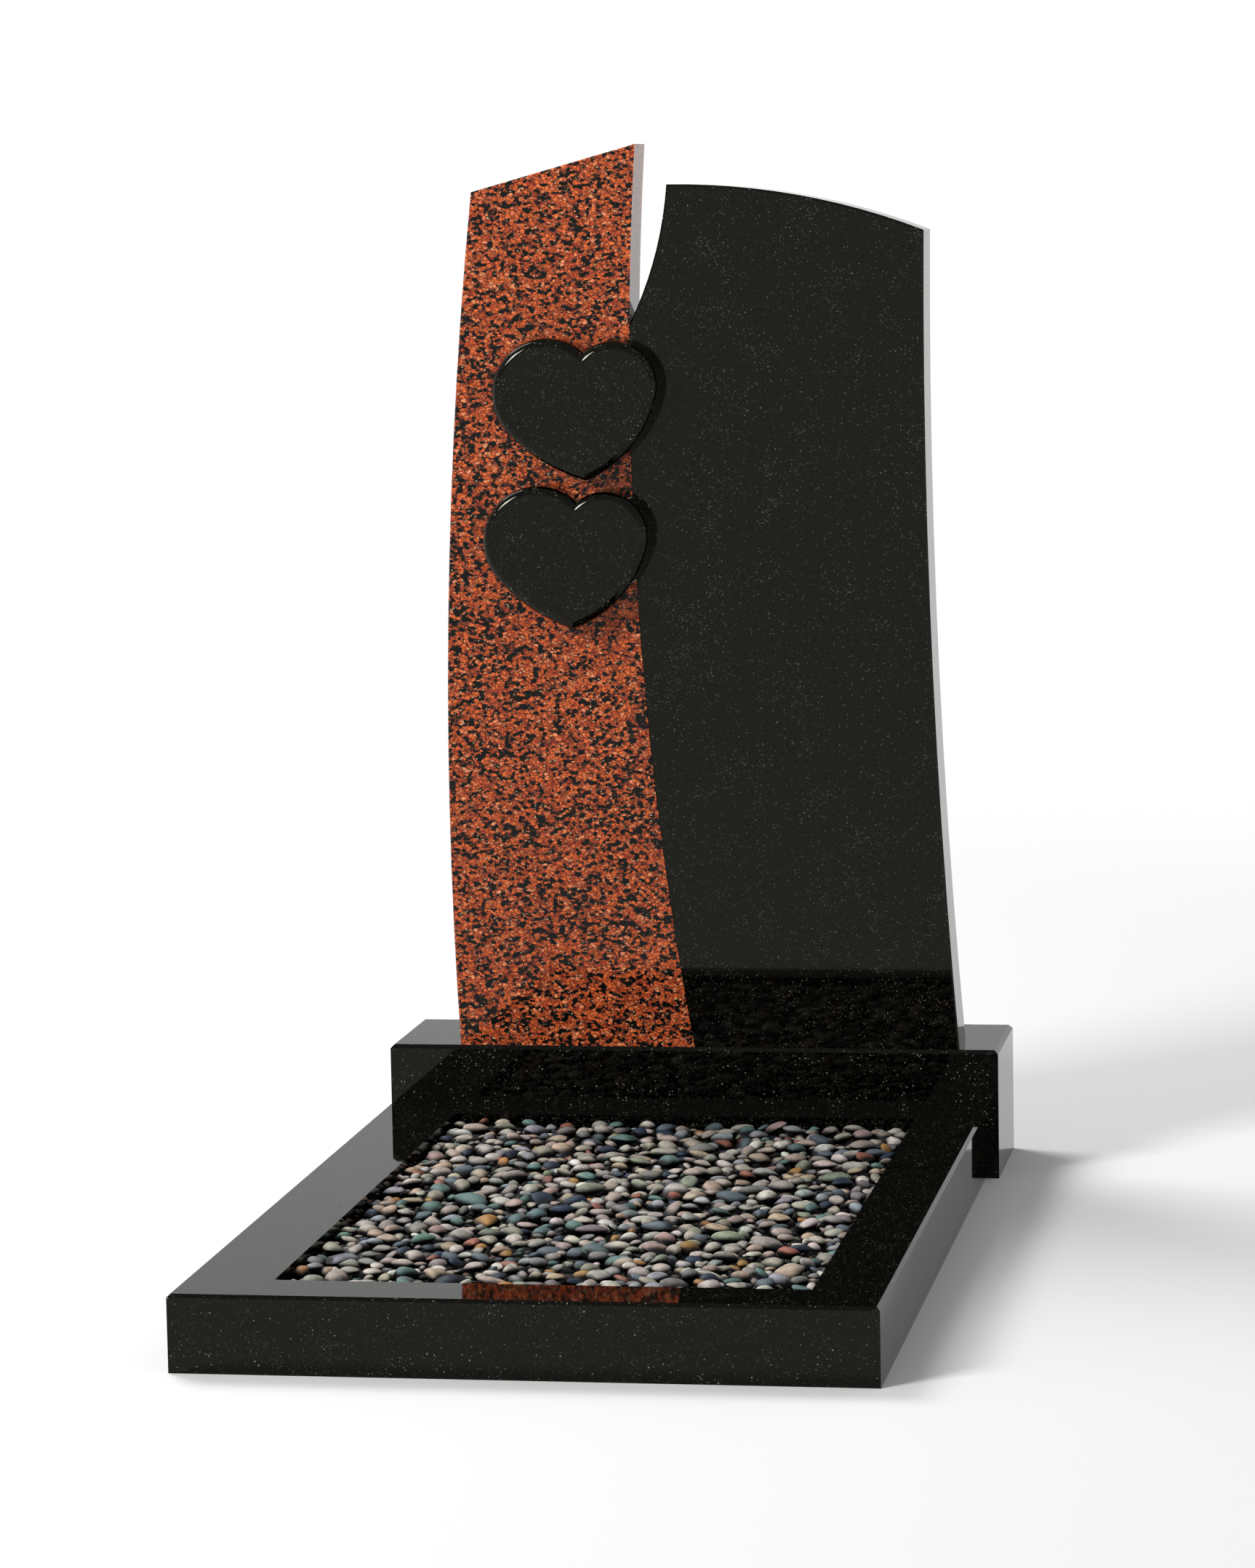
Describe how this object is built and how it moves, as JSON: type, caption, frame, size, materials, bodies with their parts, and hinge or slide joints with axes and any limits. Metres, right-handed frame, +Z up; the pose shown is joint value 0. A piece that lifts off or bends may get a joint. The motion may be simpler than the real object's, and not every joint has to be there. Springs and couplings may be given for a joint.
{
  "type": "grave monument with double-slab headstone",
  "caption": "Polished granite grave monument: kerb frame with pebble bed, base block, and a curved red slab beside a curved black slab, carrying overlaid hearts.",
  "frame": {"origin": "middle of the footprint at ground level", "axes": "+Z up, the front of the monument faces -Y, +X is the right side seen from the front"},
  "size_m": [0.818, 1.3804, 1.358],
  "materials": {
    "black_granite": "polished",
    "red_granite": "polished",
    "pebbles": "matte"
  },
  "bodies": {
    "root": {"kerb_frame": "black_granite", "pebble_bed": "pebbles", "base": "black_granite", "red_slab": "red_granite", "black_slab": "black_granite", "heart_upper": "black_granite", "heart_lower": "black_granite"}
  },
  "joints": []
}
